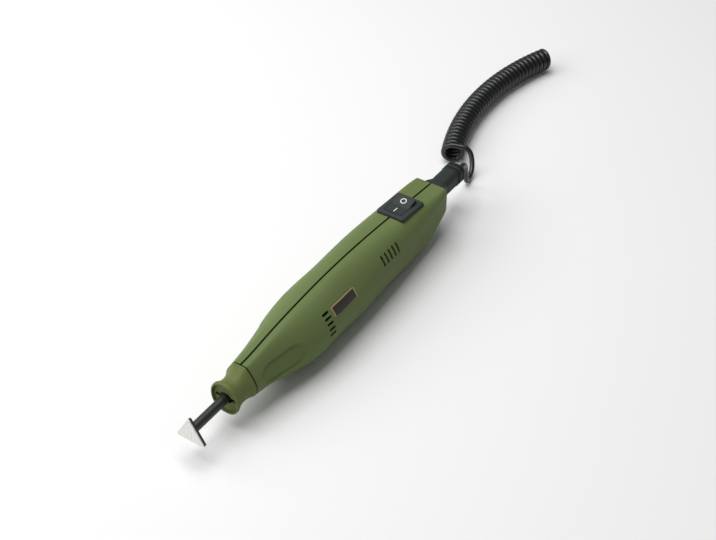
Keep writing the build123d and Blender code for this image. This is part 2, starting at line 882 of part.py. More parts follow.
# Windings: wire in the slots, and the end turns
winding_outer = core_outer - air_gap
with BuildPart() as armature_windings:
    with BuildSketch(across(core_x - end_turn)):
        with PolarLocations(core_slot_floor + slip, core_slots):
            Rectangle(
                winding_outer - core_slot_floor - slip,
                core_slot_width - 2 * slip,
                align=(Align.MIN, Align.CENTER),
            )
    extrude(amount=core_length + 2 * end_turn)
    for turn_x in (core_x - end_turn, core_x + core_length + slip):
        with BuildSketch(across(turn_x)):
            Circle(winding_outer)
            Circle(commutator_radius, mode=Mode.SUBTRACT)
        extrude(amount=end_turn - slip)
armature_windings.part.label = "armature_windings"
export_step(armature_windings.part, "parts/armature_windings.step")

# Commutator
commutator_x = core_x + core_length + end_turn + slip
with BuildPart() as commutator:
    with BuildSketch(across(commutator_x)):
        Circle(commutator_radius)
        Circle(motor_shaft_radius + press, mode=Mode.SUBTRACT)
    extrude(amount=commutator_length)
commutator.part.label = "commutator"
export_step(commutator.part, "parts/commutator.step")

# Brushes on the commutator, and the leaf springs that press them
brush_x = commutator_x + (commutator_length - brush_length) / 2
brush_top = commutator_radius + running + brush_height
with BuildPart() as carbon_brushes:
    for facing in (1, -1):
        with BuildSketch(across(brush_x, facing * brush_top / 2)):
            Rectangle(brush_width, brush_top)
        extrude(amount=brush_length)
    with BuildSketch(across(brush_x)):
        Circle(commutator_radius + running)
    extrude(amount=brush_length, mode=Mode.SUBTRACT)
carbon_brushes.part.label = "carbon_brushes"
export_step(carbon_brushes.part, "parts/carbon_brushes.step")

with BuildPart() as brush_springs:
    for facing in (1, -1):
        with BuildSketch(across(brush_x, facing * (brush_top + brush_spring / 2))):
            Rectangle(brush_width, brush_spring)
        extrude(amount=motor_rear_x - brush_x)
brush_springs.part.label = "brush_springs"
export_step(brush_springs.part, "parts/brush_springs.step")

# Motor terminals on the end cap
with BuildPart() as motor_terminals:
    for facing in (1, -1):
        with BuildSketch(across(terminal_x)):
            with Locations((facing * terminal_offset, 0)):
                Rectangle(terminal_thickness, terminal_height)
        extrude(amount=terminal_length)
motor_terminals.part.label = "motor_terminals"
export_step(motor_terminals.part, "parts/motor_terminals.step")

# Cooling fan: hub, back plate and blades
with BuildPart() as cooling_fan:
    with BuildSketch(across(fan_front_x)):
        Circle(bush_radius)
    extrude(amount=fan_width)
    with BuildSketch(across(fan_rear_x - fan_blade)):
        Circle(fan_radius)
    extrude(amount=fan_blade)
    with BuildSketch(across(fan_front_x)):
        with PolarLocations(bush_radius / 2, fan_blades):
            Rectangle(fan_radius - bush_radius / 2, fan_blade, align=(Align.MIN, Align.CENTER))
    extrude(amount=fan_width)
    with BuildSketch(across(fan_front_x)):
        Circle(motor_shaft_radius + press)
    extrude(amount=fan_width, mode=Mode.SUBTRACT)
cooling_fan.part.label = "cooling_fan"
export_step(cooling_fan.part, "parts/cooling_fan.step")

# Eccentric: hub on the shaft, crank pin off its middle, counterweight below
with BuildPart() as eccentric:
    with BuildSketch(across(hub_front_x)):
        Circle(hub_radius)
    extrude(amount=hub_length)
    with BuildSketch(across(hub_rear_x - counterweight_thickness)):
        Circle(counterweight_radius)
        with Locations((0, counterweight_radius)):
            Rectangle(2 * counterweight_radius, 2 * counterweight_radius, mode=Mode.SUBTRACT)
    extrude(amount=counterweight_thickness)
    with BuildSketch(across(hub_front_x, eccentricity)):
        Circle(crank_radius + bearing_ring / 2)
    extrude(amount=-crank_shoulder)
    with BuildSketch(across(hub_front_x, eccentricity)):
        Circle(crank_radius)
    extrude(amount=-2 * crank_shoulder - bearing_width)
    with BuildSketch(across(shaft_front_x - slip)):
        Circle(motor_shaft_radius + press)
    extrude(amount=hub_length, mode=Mode.SUBTRACT)
eccentric.part.label = "eccentric"
export_step(eccentric.part, "parts/eccentric.step")

# Ball bearing on the crank pin: two rings and the balls
inner_ring_outer = crank_radius + press + bearing_ring
outer_ring_inner = bearing_radius - bearing_ring
ball_radius = (outer_ring_inner - inner_ring_outer) / 2 - running
ball_circle = (outer_ring_inner + inner_ring_outer) / 2
with BuildPart() as crank_bearing:
    with BuildSketch(across(bearing_front_x, eccentricity)):
        Circle(bearing_radius)
        Circle(outer_ring_inner, mode=Mode.SUBTRACT)
    extrude(amount=bearing_width)
    with BuildSketch(across(bearing_front_x, eccentricity)):
        Circle(inner_ring_outer)
        Circle(crank_radius + press, mode=Mode.SUBTRACT)
    extrude(amount=bearing_width)
    with Locations(across(bearing_front_x + bearing_width / 2, eccentricity)):
        with PolarLocations(ball_circle, ball_count):
            Sphere(ball_radius)
crank_bearing.part.label = "crank_bearing"
export_step(crank_bearing.part, "parts/crank_bearing.step")

# Switch body with its bezel, hollow above for the rocker
well_length = rocker_length + 2 * rocker_gap
well_width = rocker_width + 2 * rocker_side_gap
with BuildPart() as switch_body:
    with BuildSketch(switch_plane.offset(-bezel_sunk)):
        RectangleRounded(bezel_length, bezel_width, bezel_corner)
    extrude(amount=bezel_thickness)
    chamfer(switch_body.faces().sort_by(Axis.Z)[-1].edges(), bezel_sunk)
    with BuildSketch(switch_plane.offset(-bezel_sunk)):
        Rectangle(switch_length, switch_width)
    extrude(amount=bezel_sunk - switch_depth)
    with BuildSketch(switch_plane.offset(bezel_top)):
        Rectangle(well_length, well_width)
    extrude(amount=-bezel_top - rocker_well, mode=Mode.SUBTRACT)
    axle_plane = Plane(
        origin=switch_plane.from_local_coords((0, 0, -axle_depth)),
        x_dir=switch_plane.x_dir,
        z_dir=(0, 1, 0),
    )
    with BuildSketch(axle_plane):
        Circle(axle_radius + press)
    extrude(amount=well_width / 2 + axle_seat + slip, both=True, mode=Mode.SUBTRACT)
switch_body.part.label = "switch_body"
export_step(switch_body.part, "parts/switch_body.step")

# Rocker, tipped so that its front half is pressed in
tip = math.radians(rocker_tilt)
rocker_plane = Plane(
    origin=axle_plane.origin,
    x_dir=switch_plane.x_dir * math.cos(tip) + switch_plane.z_dir * math.sin(tip),
    z_dir=(0, -1, 0),
)
rocker_valley = axle_depth + bezel_top + rocker_rise
rocker_end = rocker_valley + rocker_length / 2 * math.tan(tip)
with BuildPart() as switch_rocker:
    with BuildSketch(rocker_plane):
        with BuildLine():
            Polyline(
                (0, rocker_valley),
                (rocker_length / 2, rocker_end),
                (rocker_length / 2 - rocker_gap / 2, -rocker_skirt / 2),
                (rocker_length / 4, -rocker_skirt),
                (-rocker_length / 4, -rocker_skirt),
                (rocker_gap / 2 - rocker_length / 2, -rocker_skirt / 2),
                (-rocker_length / 2, rocker_end),
                close=True,
            )
        make_face()
        Circle(axle_radius + running, mode=Mode.SUBTRACT)
    extrude(amount=rocker_width / 2, both=True)
switch_rocker.part.label = "switch_rocker"
export_step(switch_rocker.part, "parts/switch_rocker.step")


# Plane on one half of the rocker's top: its x points away from the middle
def rocker_face(end, place):
    slope = rocker_plane.x_dir * (end * math.cos(tip)) + rocker_plane.y_dir * math.sin(tip)
    rise = rocker_valley + place * math.tan(tip)
    middle = rocker_plane.from_local_coords((end * place, rise))
    return Plane(origin=middle, x_dir=slope, z_dir=slope.cross(Vector(0, end, 0)))


# Marks on the rocker: a ring on the raised half, a bar on the pressed half
with BuildPart() as switch_marks:
    with BuildSketch(rocker_face(1, ring_place)):
        Circle(ring_radius)
        Circle(ring_radius - mark_width, mode=Mode.SUBTRACT)
    extrude(amount=mark_thickness)
    with BuildSketch(rocker_face(-1, bar_place)):
        Rectangle(bar_length, mark_width)
    extrude(amount=mark_thickness)
switch_marks.part.label = "switch_marks"
export_step(switch_marks.part, "parts/switch_marks.step")

# Rocker axle
with BuildPart() as rocker_axle:
    with BuildSketch(axle_plane):
        Circle(axle_radius)
    extrude(amount=well_width / 2 + axle_seat, both=True)
rocker_axle.part.label = "rocker_axle"
export_step(rocker_axle.part, "parts/rocker_axle.step")

# Switch terminals
with BuildPart() as switch_terminals:
    for end in (1, -1):
        with BuildSketch(switch_plane.offset(-switch_depth)):
            with Locations((end * tab_spread, 0)):
                Rectangle(tab_thickness, tab_width)
        extrude(amount=-tab_length)
switch_terminals.part.label = "switch_terminals"
export_step(switch_terminals.part, "parts/switch_terminals.step")


# Cross-section of the cord boot
def boot_outline(x, width, height, corner):
    with BuildSketch(across(x, boot_z - axis_z)) as outline:
        RectangleRounded(width, height, corner)
    return outline.sketch


flange_x = rear_x + slip
flange_end_x = flange_x + boot_flange_length
taper_end_x = flange_end_x + boot_taper
neck_start_x = rear_x - rear_wall - slip
wire_start_x = neck_start_x - boot_collar_length
band_width = boot_width + 2 * boot_band
band_height = boot_height + 2 * boot_band
band_round = boot_round + boot_band

# Cord boot: collar inside the rear wall, neck, flange, taper, body and grooved end band
with BuildPart() as cord_boot:
    collar = boot_outline(wire_start_x, boot_collar_width, boot_collar_height, boot_round)
    extrude(collar, amount=boot_collar_length, dir=along_x)
    neck = boot_outline(neck_start_x, boot_neck_width, boot_neck_height, boot_neck_round)
    extrude(neck, amount=flange_x - neck_start_x, dir=along_x)
    flange = boot_outline(flange_x, boot_flange_width, boot_flange_height, boot_round)
    extrude(flange, amount=boot_flange_length, dir=along_x)
    taper_start = boot_outline(flange_end_x, boot_flange_width, boot_flange_height, boot_round)
    taper_end = boot_outline(taper_end_x, boot_width, boot_height, boot_round)
    loft([taper_start, taper_end])
    body = boot_outline(taper_end_x, boot_width, boot_height, boot_round)
    extrude(body, amount=boot_end_x - taper_end_x, dir=along_x)
    band = boot_outline(boot_end_x - boot_band_length, band_width, band_height, band_round)
    extrude(band, amount=boot_band_length, dir=along_x)
    fillet(cord_boot.faces().sort_by(Axis.X)[-1].edges(), boot_end_round)
    for place in boot_groove_places:
        with BuildSketch(across(boot_end_x - place - boot_groove_width / 2, boot_z - axis_z)):
            Rectangle(2 * band_width, 2 * band_height)
            RectangleRounded(
                band_width - 2 * boot_groove_depth,
                band_height - 2 * boot_groove_depth,
                boot_round,
                mode=Mode.SUBTRACT,
            )
        extrude(amount=boot_groove_width, mode=Mode.SUBTRACT)
cord_boot.part.label = "cord_boot"
export_step(cord_boot.part, "parts/cord_boot.step")


# Arc radii of a route: as large as the shorter run at each corner allows
def corner_radii(points):
    radii = []
    for before, corner, after in zip(points, points[1:], points[2:]):
        run_in = corner - before
        run_out = after - corner
        half_turn = math.radians(run_in.get_angle(run_out) / 2)
        radii.append(0.45 * min(run_in.length, run_out.length) / math.tan(half_turn))
    return radii


# Round tube along straight runs and tangent arcs
def tube(points, radius, radii):
    with BuildPart() as form:
        with BuildLine() as route:
            FilletPolyline(*points, radius=radii)
        path = route.wire()
        with BuildSketch(Plane(origin=points[0], z_dir=points[1] - points[0])):
            Circle(radius)
        sweep(path=path)
    share = form.part.volume / (math.pi * radius**2 * path.length)
    turns = " ".join(f"{bend:.1f}" for bend in radii)
    print(f"tube {path.length:.1f} mm, volume share {share:.4f}, radii {turns}")
    return form.part


# Lead wires: cord to switch, switch to motor, cord to motor
tab_foot = -switch_depth - tab_length + wire_radius
rear_tab = switch_plane.from_local_coords((tab_spread + tab_thickness / 2, 0, tab_foot))
front_tab = switch_plane.from_local_coords((-tab_spread - tab_thickness / 2, 0, tab_foot))
tab_way = switch_plane.x_dir
motor_run = (front_tab.X - terminal_end_x) / 5
wire_routes = [
    [
        Vector(wire_start_x, wire_spread, boot_z),
        Vector(wire_start_x - wire_run, wire_spread, boot_z),
        rear_tab + tab_way * (2 * wire_run) + Vector(0, 0, wire_run),
        rear_tab + tab_way * wire_run,
        rear_tab,
    ],
    [
        front_tab,
        front_tab - tab_way * motor_run,
        Vector(terminal_end_x + motor_run, terminal_offset, axis_z),
        Vector(terminal_end_x, terminal_offset, axis_z),
    ],
    [
        Vector(wire_start_x, -wire_spread, boot_z),
        Vector(wire_start_x - wire_run, -wire_spread, boot_z),
        rear_tab + tab_way * wire_run + Vector(0, -terminal_offset, wire_run / 2),
        Vector(terminal_end_x + motor_run, -terminal_offset, axis_z),
        Vector(terminal_end_x, -terminal_offset, axis_z),
    ],
]
with BuildPart() as lead_wires:
    for points in wire_routes:
        add(tube(points, wire_radius, [wire_bend] * (len(points) - 2)))
lead_wires.part.label = "lead_wires"
export_step(lead_wires.part, "parts/lead_wires.step")


# Frame of the curls' axis at a distance along it: place, direction and left
def coil_frame(distance):
    heading = math.radians(coil_heading) - distance / coil_arc_radius
    start = math.radians(coil_heading)
    forward = Vector(math.cos(heading), math.sin(heading), 0)
    left = Vector(-math.sin(heading), math.cos(heading), 0)
    first_left = Vector(-math.sin(start), math.cos(start), 0)
    origin = Vector(boot_end_x + coil_start_x, coil_start_y, coil_radius + cord_radius)
    return origin + (left - first_left) * coil_arc_radius, forward, left


# A point of the helix, which climbs over the top from right to left
def helix_point(turn):
    place, forward, left = coil_frame(coil_pitch * turn)
    angle = 2 * math.pi * turn
    return place + left * (coil_radius * math.sin(angle)) + Vector(0, 0, coil_radius * math.cos(angle))


def helix_tangent(turn):
    step = 1e-4
    return (helix_point(turn + step) - helix_point(turn - step)).normalized()


# Two arcs from one point and direction to the next
def biarc(start, start_way, end, end_way):
    span = end - start
    ways = start_way + end_way
    bend = 2 * (1 - start_way.dot(end_way))
    reach = (math.sqrt(span.dot(ways) ** 2 + bend * span.dot(span)) - span.dot(ways)) / bend
    first = start + start_way * reach
    last = end - end_way * reach
    middle = (first + last) * 0.5
    TangentArc(start, middle, tangent=start_way)
    TangentArc(middle, end, tangent=(last - first).normalized())


# The curls, one tube whose ends run straight for a diameter
cord_diameter = 2 * cord_radius
coil_end_turn = coil_turns + coil_leave / 360
coil_steps = round(coil_end_turn * biarcs_per_turn)
coil_places = [coil_end_turn * step / coil_steps for step in range(coil_steps + 1)]
coil_points = [helix_point(turn) for turn in coil_places]
coil_ways = [helix_tangent(turn) for turn in coil_places]
coil_entry = coil_points[0] - coil_ways[0] * cord_diameter
coil_exit = coil_points[-1] + coil_ways[-1] * cord_diameter
with BuildPart() as curly_cord:
    with BuildLine() as curls:
        Line(coil_entry, coil_points[0])
        for index in range(coil_steps):
            biarc(coil_points[index], coil_ways[index], coil_points[index + 1], coil_ways[index + 1])
        Line(coil_points[-1], coil_exit)
    coil_path = curls.wire()
    with BuildSketch(Plane(origin=coil_entry, z_dir=coil_ways[0])):
        Circle(cord_radius)
    sweep(path=coil_path)
curly_cord.part.label = "curly_cord"
export_step(curly_cord.part, "parts/curly_cord.step")
coil_share = curly_cord.part.volume / (math.pi * cord_radius**2 * coil_path.length)
print(f"curls {coil_path.length:.1f} mm, volume share {coil_share:.4f}")

# Least gap of the curls to themselves, past half a turn
sample_count = samples_per_biarc * coil_steps
half_turn = samples_per_biarc * biarcs_per_turn // 2
samples = [tuple(coil_path @ (index / sample_count)) for index in range(sample_count + 1)]
least = math.inf
for index in range(sample_count - half_turn):
    for other in range(index + half_turn, sample_count + 1):
        least = min(least, math.dist(samples[index], samples[other]))
print(f"least gap of the curls {least - cord_diameter:.2f} mm")

# Lead from the boot down to the table and up to the curls: distance past the boot,
# distance to the left, and height
lead_rows = [
    (0.0, 0.0, boot_z),
    (5.0, 0.0, boot_z),
    (10.9, 0.5, 18.6),
    (14.2, 1.5, 11.2),
    (15.5, 1.9, 4.0),
    (19.0, 2.4, cord_radius),
    (25.8, 4.0, 3.0),
    (30.2, 6.2, 6.4),
    (33.4, 9.4, 10.2),
]
lead_points = [Vector(boot_end_x + past, left, height) for past, left, height in lead_rows]
lead_points.append(coil_entry - coil_ways[0] * lead_entry_run)
lead_points.append(coil_entry)
with BuildPart() as cord_lead:
    add(tube(lead_points, cord_radius, corner_radii(lead_points)))
cord_lead.part.label = "cord_lead"
export_step(cord_lead.part, "parts/cord_lead.step")

# Tail from the last curl to the table, then back along the curls to the plug: distance
# back along the curls, distance to their left, and height
tail_rows = [
    (1.2, 9.5, 1.9),
    (5.6, 10.6, cord_radius),
    (11.0, 10.3, cord_radius),
    (16.5, 9.6, 2.1),
]
coil_end = coil_pitch * coil_end_turn
plug_place, plug_forward, plug_left = coil_frame(coil_end - plug_back)
plug_way = coil_frame(coil_end - plug_back - plug_length)[1] * -1
plug_spot = plug_place + plug_left * (coil_radius + cord_radius + plug_radius + plug_gap)
plug_entry = Vector(plug_spot.X, plug_spot.Y, plug_radius)
tail_points = [coil_exit, coil_exit + coil_ways[-1] * tail_exit_run]
for back, aside, height in tail_rows:
    place, forward, left = coil_frame(coil_end - back)
    spot = place + left * aside
    tail_points.append(Vector(spot.X, spot.Y, height))
tail_points.append(plug_entry - plug_way * tail_exit_run)
tail_points.append(plug_entry)
with BuildPart() as cord_tail:
    add(tube(tail_points, cord_radius, corner_radii(tail_points)))
cord_tail.part.label = "cord_tail"
export_step(cord_tail.part, "parts/cord_tail.step")

# Plug: neck, round grip and metal barrel
plug_plane = Plane(origin=plug_entry, x_dir=plug_way.cross(Vector(0, 0, 1)), z_dir=plug_way)
grip_plane = plug_plane.offset(plug_neck_length)
with BuildPart() as plug_body:
    with BuildSketch(plug_plane):
        Circle(cord_radius + plug_neck_wall)
    extrude(amount=plug_neck_length)
    with BuildSketch(grip_plane):
        Circle(plug_radius)
    extrude(amount=plug_length)
    for place in range(1, grip_grooves + 1):
        with BuildSketch(grip_plane.offset(place * plug_length / (2 * grip_grooves))):
            Circle(plug_radius)
            Circle(plug_radius - grip_groove_depth, mode=Mode.SUBTRACT)
        extrude(amount=grip_groove_width, mode=Mode.SUBTRACT)
plug_body.part.label = "plug_body"
export_step(plug_body.part, "parts/plug_body.step")

barrel_plane = grip_plane.offset(plug_length)
with BuildPart() as plug_barrel:
    with BuildSketch(barrel_plane):
        Circle(barrel_radius)
        Circle(barrel_bore, mode=Mode.SUBTRACT)
    extrude(amount=barrel_length)
plug_barrel.part.label = "plug_barrel"
export_step(plug_barrel.part, "parts/plug_barrel.step")
print(f"box {face_x:.1f} to {boot_end_x:.1f} along X, drive axis at {axis_z:.1f}")
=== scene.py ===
import json
import math

import bpy
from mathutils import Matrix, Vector


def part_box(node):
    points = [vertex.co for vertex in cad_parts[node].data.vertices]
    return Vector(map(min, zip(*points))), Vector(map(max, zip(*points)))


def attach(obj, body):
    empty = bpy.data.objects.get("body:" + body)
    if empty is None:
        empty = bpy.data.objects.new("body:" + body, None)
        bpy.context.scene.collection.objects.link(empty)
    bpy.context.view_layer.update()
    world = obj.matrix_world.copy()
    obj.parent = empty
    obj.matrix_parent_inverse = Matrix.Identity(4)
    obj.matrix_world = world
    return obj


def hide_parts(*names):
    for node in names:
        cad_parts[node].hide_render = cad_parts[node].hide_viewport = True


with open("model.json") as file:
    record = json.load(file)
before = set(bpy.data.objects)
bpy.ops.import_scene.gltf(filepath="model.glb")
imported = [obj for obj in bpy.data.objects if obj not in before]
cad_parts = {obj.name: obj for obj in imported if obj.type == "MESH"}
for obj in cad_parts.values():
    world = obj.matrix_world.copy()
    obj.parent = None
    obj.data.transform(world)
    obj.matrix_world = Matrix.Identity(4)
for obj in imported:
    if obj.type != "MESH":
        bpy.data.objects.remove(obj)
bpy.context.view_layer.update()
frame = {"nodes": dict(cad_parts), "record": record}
nodes = frame["nodes"]
scene = bpy.context.scene


def aim(item, place, direction):
    """Put a camera or a lamp at a place, so that it looks in a direction."""
    item.location = place
    item.rotation_mode = "QUATERNION"
    item.rotation_quaternion = direction.to_track_quat("-Z", "Y")
    scene.collection.objects.link(item)


# Camera at the photograph's viewing angle

camera_azimuth = math.radians(-55.91)
camera_elevation = math.radians(40.35)
camera_place = Vector((-0.3829, -0.2711, 0.4280))
camera_lens = 62.85
camera_sensor = 36.0
camera_near = 0.01

camera_back = Vector((
    math.sin(camera_azimuth) * math.cos(camera_elevation),
    -math.cos(camera_azimuth) * math.cos(camera_elevation),
    math.sin(camera_elevation),
))
camera = bpy.data.objects.new("camera", bpy.data.cameras.new("camera"))
camera.data.lens = camera_lens
camera.data.sensor_width = camera_sensor
camera.data.clip_start = camera_near
aim(camera, camera_place, -camera_back)
scene.camera = camera


# Route of the cord: a lead from the boot, the curls, and a tail to the plug

cord_radius = 0.0015
cord_diameter = 2 * cord_radius
coil_radius = 0.0055
coil_turns = 35.0
coil_pitch = 0.00364
coil_extra_degrees = 60.0
coil_arc_radius = 0.165
coil_heading = math.radians(24.6)
coil_start = (0.0307, 0.0199)
lead_entry_run = 0.0045
tail_exit_run = 0.0034
plug_back = 0.024
plug_length = 0.016
plug_radius = 0.0026
plug_gap = 0.0003
points_per_turn = 16
line_order = 3
line_steps = 4
ring_steps = 5

boot_low, boot_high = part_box("cord_boot")
boot_end_x = boot_high.x
boot_z = (boot_low.z + boot_high.z) / 2
coil_end_turn = coil_turns + coil_extra_degrees / 360
coil_end = coil_pitch * coil_end_turn

# The lead, by distance past the boot, distance to the left, and height
lead_rows = [
    (0.0, 0.0, boot_z),
    (0.0050, 0.0, boot_z),
    (0.0109, 0.0005, 0.0186),
    (0.0142, 0.0015, 0.0112),
    (0.0155, 0.0019, 0.0040),
    (0.0190, 0.0024, 0.0015),
    (0.0258, 0.0040, 0.0030),
    (0.0302, 0.0062, 0.0064),
    (0.0334, 0.0094, 0.0102),
]

# The tail, by distance back along the curls, distance to their left, and height
tail_rows = [
    (0.0012, 0.0095, 0.0019),
    (0.0056, 0.0106, 0.0015),
    (0.0110, 0.0103, 0.0015),
    (0.0165, 0.0096, 0.0021),
]


def coil_frame(distance):
    """Place, direction and left of the curls' axis at a distance along it."""
    heading = coil_heading - distance / coil_arc_radius
    forward = Vector((math.cos(heading), math.sin(heading), 0))
    left = Vector((-math.sin(heading), math.cos(heading), 0))
    first_left = Vector((-math.sin(coil_heading), math.cos(coil_heading), 0))
    origin = Vector((boot_end_x + coil_start[0], coil_start[1], coil_radius + cord_radius))
    return origin + (left - first_left) * coil_arc_radius, forward, left


def helix_point(turn, radius=coil_radius):
    """A point of the curls, which pass over the top from right to left."""
    place, _, left = coil_frame(coil_pitch * turn)
    angle = 2 * math.pi * turn
    return place + left * (radius * math.sin(angle)) + Vector((0, 0, radius * math.cos(angle)))


def helix_tangent(turn):
    """Direction of the cord at a point of the curls."""
    step = 1e-4
    return (helix_point(turn + step) - helix_point(turn - step)).normalized()


# Points of the lead
entry_way = helix_tangent(0)
coil_entry = helix_point(0) - entry_way * cord_diameter
cord_points = [Vector((boot_end_x + past, left, height)) for past, left, height in lead_rows]
cord_points.append(coil_entry - entry_way * lead_entry_run)
cord_points.append(coil_entry)

# Points of the curls, which stand out so that the line between them has the curls' radius
coil_steps = round(coil_end_turn * points_per_turn)
outer_radius = coil_radius / math.cos(math.pi / points_per_turn)
for step in range(coil_steps + 1):
    cord_points.append(helix_point(coil_end_turn * step / coil_steps, outer_radius))

# Points of the tail
exit_way = helix_tangent(coil_end_turn)
coil_exit = helix_point(coil_end_turn) + exit_way * cord_diameter
cord_points.append(coil_exit)
cord_points.append(coil_exit + exit_way * tail_exit_run)
for back, aside, height in tail_rows:
    place, _, left = coil_frame(coil_end - back)
    spot = place + left * aside
    cord_points.append(Vector((spot.x, spot.y, height)))
plug_place, _, plug_left = coil_frame(coil_end - plug_back)
plug_entry = plug_place + plug_left * (coil_radius + cord_radius + plug_radius + plug_gap)
plug_entry.z = plug_radius
_, plug_forward, _ = coil_frame(coil_end - plug_back - plug_length)
cord_points.append(plug_entry + plug_forward * tail_exit_run)
cord_points.append(plug_entry)

# The cord as one tube, and the line along its middle
cord_line = bpy.data.curves.new("curly_cord_line", "CURVE")
cord_line.dimensions = "3D"
cord_spline = cord_line.splines.new("NURBS")
cord_spline.points.add(len(cord_points) - 1)
for control, point in zip(cord_spline.points, cord_points):
    control.co = (*point, 1.0)
cord_spline.order_u = line_order
cord_spline.use_endpoint_u = True
cord_spline.resolution_u = line_steps
cord_guide = bpy.data.objects.new("curly_cord_line", cord_line)
cord_middle = bpy.data.meshes.new_from_object(cord_guide)
cord_line.bevel_depth = cord_radius
cord_line.bevel_resolution = ring_steps
cord_line.use_fill_caps = True
cord = bpy.data.objects.new("curly_cord_piece", bpy.data.meshes.new_from_object(cord_guide))
cord.data.shade_smooth()
scene.collection.objects.link(cord)
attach(cord, "handle")
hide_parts("cord_lead", "curly_cord", "cord_tail")


# Materials

noise_range = (0.3, 0.7)
edge_samples = 6
# Painted shade in narrow gaps: occlusion samples, the occlusion range that is darkened, and
# the dark tone it falls to
painted_shade_samples = 8
painted_shade_range = (0.25, 0.6)
painted_shade_tone = (0.008, 0.012, 0.004)
finishes = {}


def new_material(name):
    """Node tree and shader of a new finish."""
    material = bpy.data.materials.new(name)
    material.use_nodes = True
    finishes[name] = material
    return material.node_tree, material.node_tree.nodes["Principled BSDF"]


def new_node(tree, kind, values):
    """A shader node with some of its inputs set."""
    node = tree.nodes.new(kind)
    for name, value in values.items():
        node.inputs[name].default_value = value
    return node


def noise(tree, scale, detail, roughness=0.5):
    """Noise in the object's own place, in features per metre."""
    spot = tree.nodes.new("ShaderNodeTexCoord")
    texture = new_node(tree, "ShaderNodeTexNoise", {
        "Scale": scale, "Detail": detail, "Roughness": roughness,
    })
    tree.links.new(spot.outputs["Object"], texture.inputs["Vector"])
    return texture.outputs["Fac"]


def remap(tree, value, old, new=(0.0, 1.0)):
    """A value carried from its old range to a new one."""
    node = new_node(tree, "ShaderNodeMapRange", {
        "From Min": old[0], "From Max": old[1], "To Min": new[0], "To Max": new[1],
    })
    tree.links.new(value, node.inputs["Value"])
    return node.outputs["Result"]


def mix(tree, factor, first, second):
    """Colour between two others, each a plain tone or the result of another node."""
    node = tree.nodes.new("ShaderNodeMix")
    node.data_type = "RGBA"
    tree.links.new(factor, node.inputs["Factor"])
    for name, colour in (("A", first), ("B", second)):
        if isinstance(colour, tuple):
            node.inputs[name].default_value = (*colour, 1)
        else:
            tree.links.new(colour, node.inputs[name])
    return node.outputs["Result"]


def uneven(tree, grains, rough, swing):
    """Roughness that swings a little with the grain."""
    return remap(tree, grains, noise_range, (rough - swing, rough + swing))


def bumped(tree, height, depth, strength, edge=0.0):
    """Normal of a rough surface, with its edges eased by a small radius."""
    bump = new_node(tree, "ShaderNodeBump", {"Strength": strength, "Distance": depth})
    tree.links.new(height, bump.inputs["Height"])
    if edge:
        eased = new_node(tree, "ShaderNodeBevel", {"Radius": edge})
        eased.samples = edge_samples
        tree.links.new(eased.outputs["Normal"], bump.inputs["Normal"])
    return bump.outputs["Normal"]


def painted_gap_shade(tree, colour, reach):
    """The colour with painted shade: it falls to a dark tone in narrow gaps, slots and seams,
    where ambient occlusion finds nearby surfaces.
    """
    shade = new_node(tree, "ShaderNodeAmbientOcclusion", {"Distance": reach})
    shade.samples = painted_shade_samples
    return mix(tree, remap(tree, shade.outputs["AO"], painted_shade_range), painted_shade_tone, colour)


def link_inputs(tree, shader, sources):
    """Link the results of other nodes to inputs of the shader."""
    for name, source in sources.items():
        tree.links.new(source, shader.inputs[name])


def moulded(name, light, dark, rough, edge=0.0003, gloss=0.5, painted_shade_reach=0.0):
    """Moulded plastic or rubber: soft patches of two tones under a fine even grain, with
    painted shade in narrow gaps when a shade reach is given.
    """
    tree, shader = new_material(name)
    shader.inputs["Specular IOR Level"].default_value = gloss
    grains = noise(tree, scale=2600.0, detail=3.0, roughness=0.6)
    patches = noise(tree, scale=28.0, detail=4.0)
    colour = mix(tree, remap(tree, patches, noise_range), light, dark)
    # Painted shade: the colour darkens where ambient occlusion finds narrow gaps, slots and
    # seams
    if painted_shade_reach:
        colour = painted_gap_shade(tree, colour, painted_shade_reach)
    link_inputs(tree, shader, {
        "Base Color": colour,
        "Roughness": uneven(tree, grains, rough, swing=0.06),
        "Normal": bumped(tree, grains, depth=0.00006, strength=0.5, edge=edge),
    })


def framed(name, field, line, margins, rough):
    """Plain plate with a thin line round its edge, at a share of its box along X and Z."""
    tree, shader = new_material(name)
    spot = tree.nodes.new("ShaderNodeTexCoord")
    shares = tree.nodes.new("ShaderNodeSeparateXYZ")
    tree.links.new(spot.outputs["Generated"], shares.inputs["Vector"])
    inside = tree.nodes.new("ShaderNodeMath")
    inside.operation = "MULTIPLY"
    middle = 0.5
    for place, (axis, margin) in enumerate(zip("XZ", margins)):
        within = new_node(tree, "ShaderNodeMath", {1: middle, 2: middle - margin})
        within.operation = "COMPARE"
        tree.links.new(shares.outputs[axis], within.inputs[0])
        tree.links.new(within.outputs["Value"], inside.inputs[place])
    grains = noise(tree, scale=1800.0, detail=3.0, roughness=0.6)
    link_inputs(tree, shader, {
        "Base Color": mix(tree, inside.outputs["Value"], line, field),
        "Roughness": uneven(tree, grains, rough, swing=0.06),
        "Normal": bumped(tree, grains, depth=0.00003, strength=0.4),
    })


def metal(name, light, dark, rough):
    """Metal with a fine grain of two tones."""
    tree, shader = new_material(name)
    shader.inputs["Metallic"].default_value = 1.0
    grains = noise(tree, scale=900.0, detail=5.0, roughness=0.7)
    link_inputs(tree, shader, {
        "Base Color": mix(tree, remap(tree, grains, noise_range), light, dark),
        "Roughness": uneven(tree, grains, rough, swing=0.08),
        "Normal": bumped(tree, grains, depth=0.00002, strength=0.4, edge=0.0001),
    })


